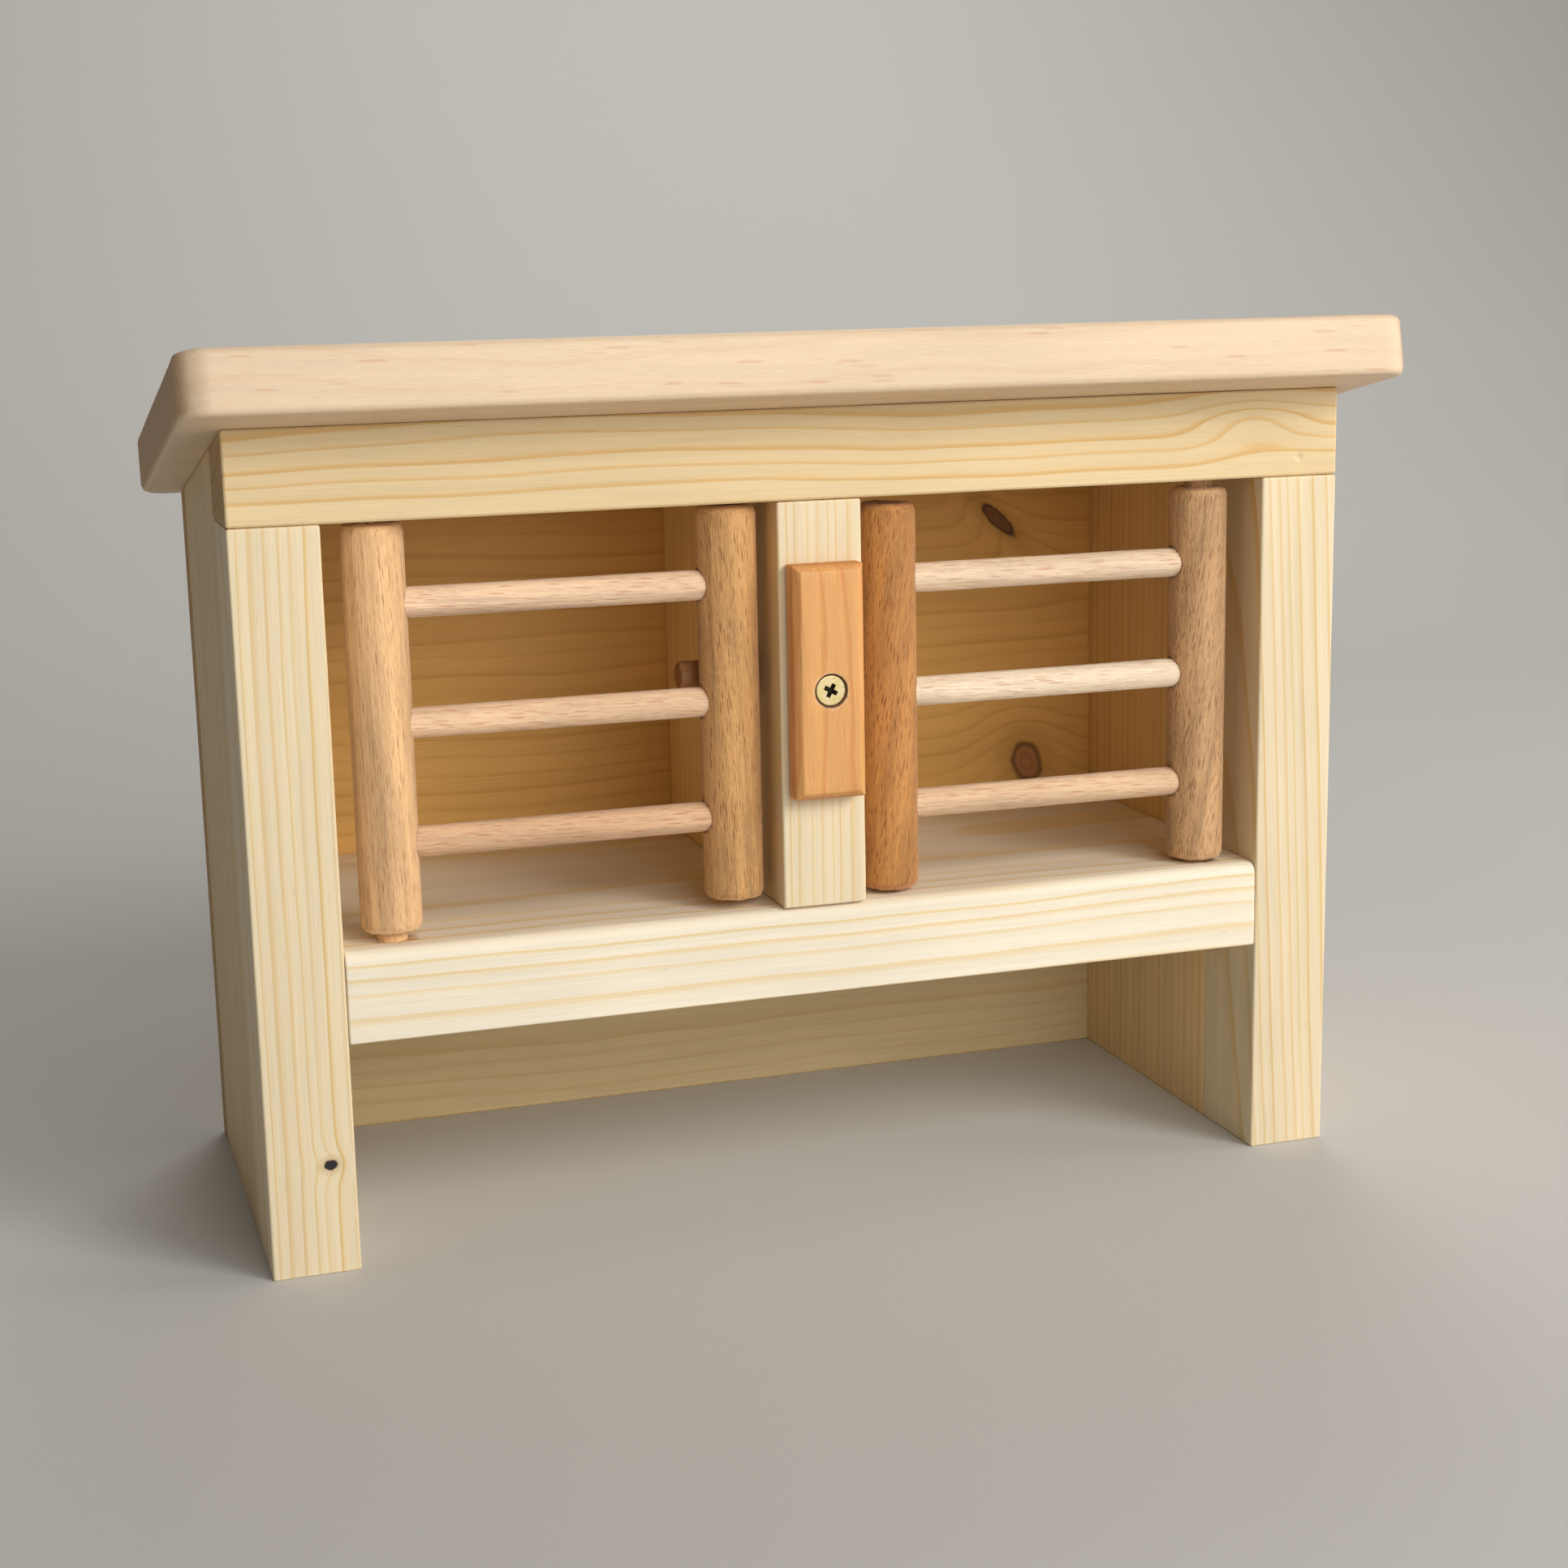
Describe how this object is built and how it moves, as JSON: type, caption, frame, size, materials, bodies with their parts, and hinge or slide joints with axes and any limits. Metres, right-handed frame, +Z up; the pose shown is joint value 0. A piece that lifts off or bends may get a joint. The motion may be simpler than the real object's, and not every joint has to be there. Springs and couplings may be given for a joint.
{
  "type": "toy hutch",
  "caption": "Small wooden play hutch on legs with a roof board that slopes to the back, ladder-rung doors and a turn button.",
  "frame": {"origin": "on the floor, under the centre of the whole object's box", "axes": "+X to the right seen from the front, +Y from the front to the back, +Z up"},
  "size_m": [0.325, 0.1554, 0.2372],
  "materials": {
    "roof_board": "sanded pale hardwood, faint grain",
    "pine": "planed pine, bare",
    "beech": "turned beech dowel, bare",
    "beech_rung": "thin beech dowel, bare and slightly rough",
    "alder": "smooth sanded alder",
    "zinc": "yellow zinc plated screw"
  },
  "bodies": {
    "carcass": {"roof": "roof_board", "top_rail": "pine", "stile_left": "pine", "stile_right": "pine", "stile_centre": "pine", "side_left": "pine", "side_right": "pine", "divider": "pine", "shelf": "pine", "back_panel": "pine", "door_stop": "beech", "latch_screw": "zinc", "pin_rail_left": "beech", "pin_rail_right": "beech", "pin_centre_top": "beech", "pin_centre_bottom": "beech", "pin_divider": "beech", "pin_shelf_front_left": "beech", "pin_shelf_front_right": "beech", "pin_shelf_rear_left": "beech", "pin_shelf_rear_right": "beech", "pin_roof_front_left": "beech", "pin_roof_front_right": "beech", "pin_roof_rear_left": "beech", "pin_roof_rear_right": "beech", "screw_back_low_left": "zinc", "screw_back_low_right": "zinc", "screw_back_mid_left": "zinc", "screw_back_mid_right": "zinc", "screw_back_high_left": "zinc", "screw_back_high_right": "zinc", "screw_back_low_centre": "zinc", "screw_back_high_centre": "zinc"},
    "left_door": {"door_left_hinge_dowel": "beech", "door_left_closing_dowel": "beech", "door_left_rung_1": "beech_rung", "door_left_rung_2": "beech_rung", "door_left_rung_3": "beech_rung"},
    "right_door": {"door_right_hinge_dowel": "beech", "door_right_closing_dowel": "beech", "door_right_rung_1": "beech_rung", "door_right_rung_2": "beech_rung", "door_right_rung_3": "beech_rung"},
    "latch": {"latch": "alder"}
  },
  "joints": [
    {"name": "left_door_hinge", "type": "hinge", "parent": "carcass", "child": "left_door", "pos_m": [-0.1148, -0.04579, 0.14], "axis": [0, 0, -1], "range_deg": [0, 115]},
    {"name": "right_door_hinge", "type": "hinge", "parent": "carcass", "child": "right_door", "pos_m": [0.1148, -0.04579, 0.14], "axis": [0, 0, 1], "range_deg": [0, 115]},
    {"name": "latch_turn", "type": "hinge", "parent": "carcass", "child": "latch", "pos_m": [0, -0.05739, 0.1444], "axis": [0, -1, 0], "continuous": true}
  ]
}
